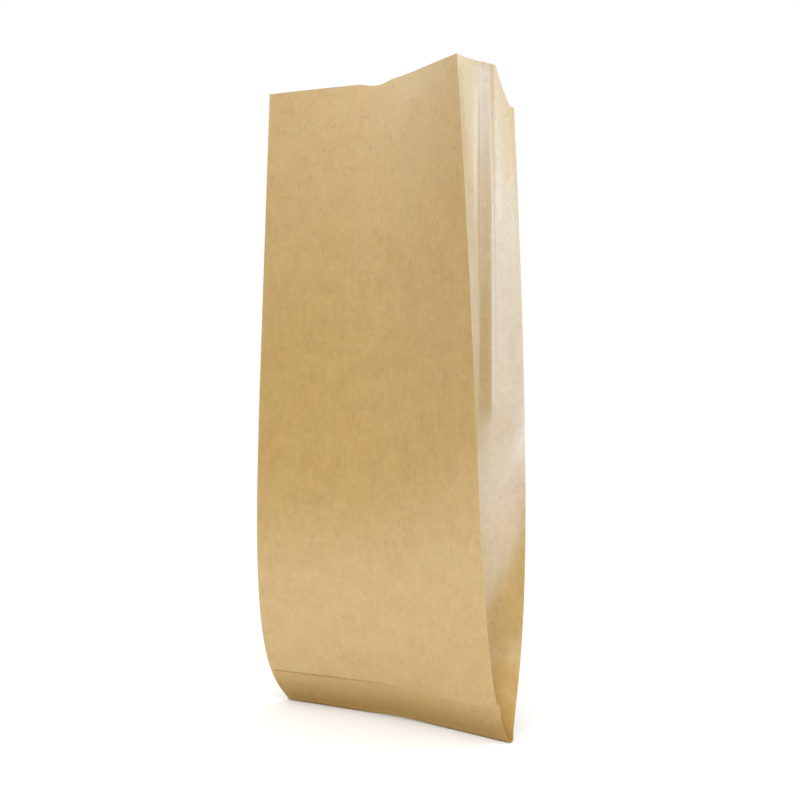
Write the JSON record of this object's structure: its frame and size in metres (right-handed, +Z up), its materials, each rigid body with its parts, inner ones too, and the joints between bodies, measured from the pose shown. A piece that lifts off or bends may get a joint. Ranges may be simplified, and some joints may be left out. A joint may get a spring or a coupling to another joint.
{
  "type": "kraft paper bag",
  "caption": "Open, empty brown kraft paper bag for bread or snacks, standing upright, with folded side gussets, a pinched bottom and a glued bottom flap.",
  "frame": {"origin": "under the middle of the bag's bounding box, on the surface that the bottom fold stands on", "axes": "+Z up along the bag to its mouth, -Y is the front panel with the bottom flap, +X along the panel's width to the right as seen from the front"},
  "size_m": [0.161, 0.0982, 0.35],
  "materials": {
    "kraft_paper": "machine-glazed brown kraft paper, smooth and slightly glossy outside, duller inside"
  },
  "bodies": {
    "root": {"paper_bag": "kraft_paper"}
  },
  "joints": []
}
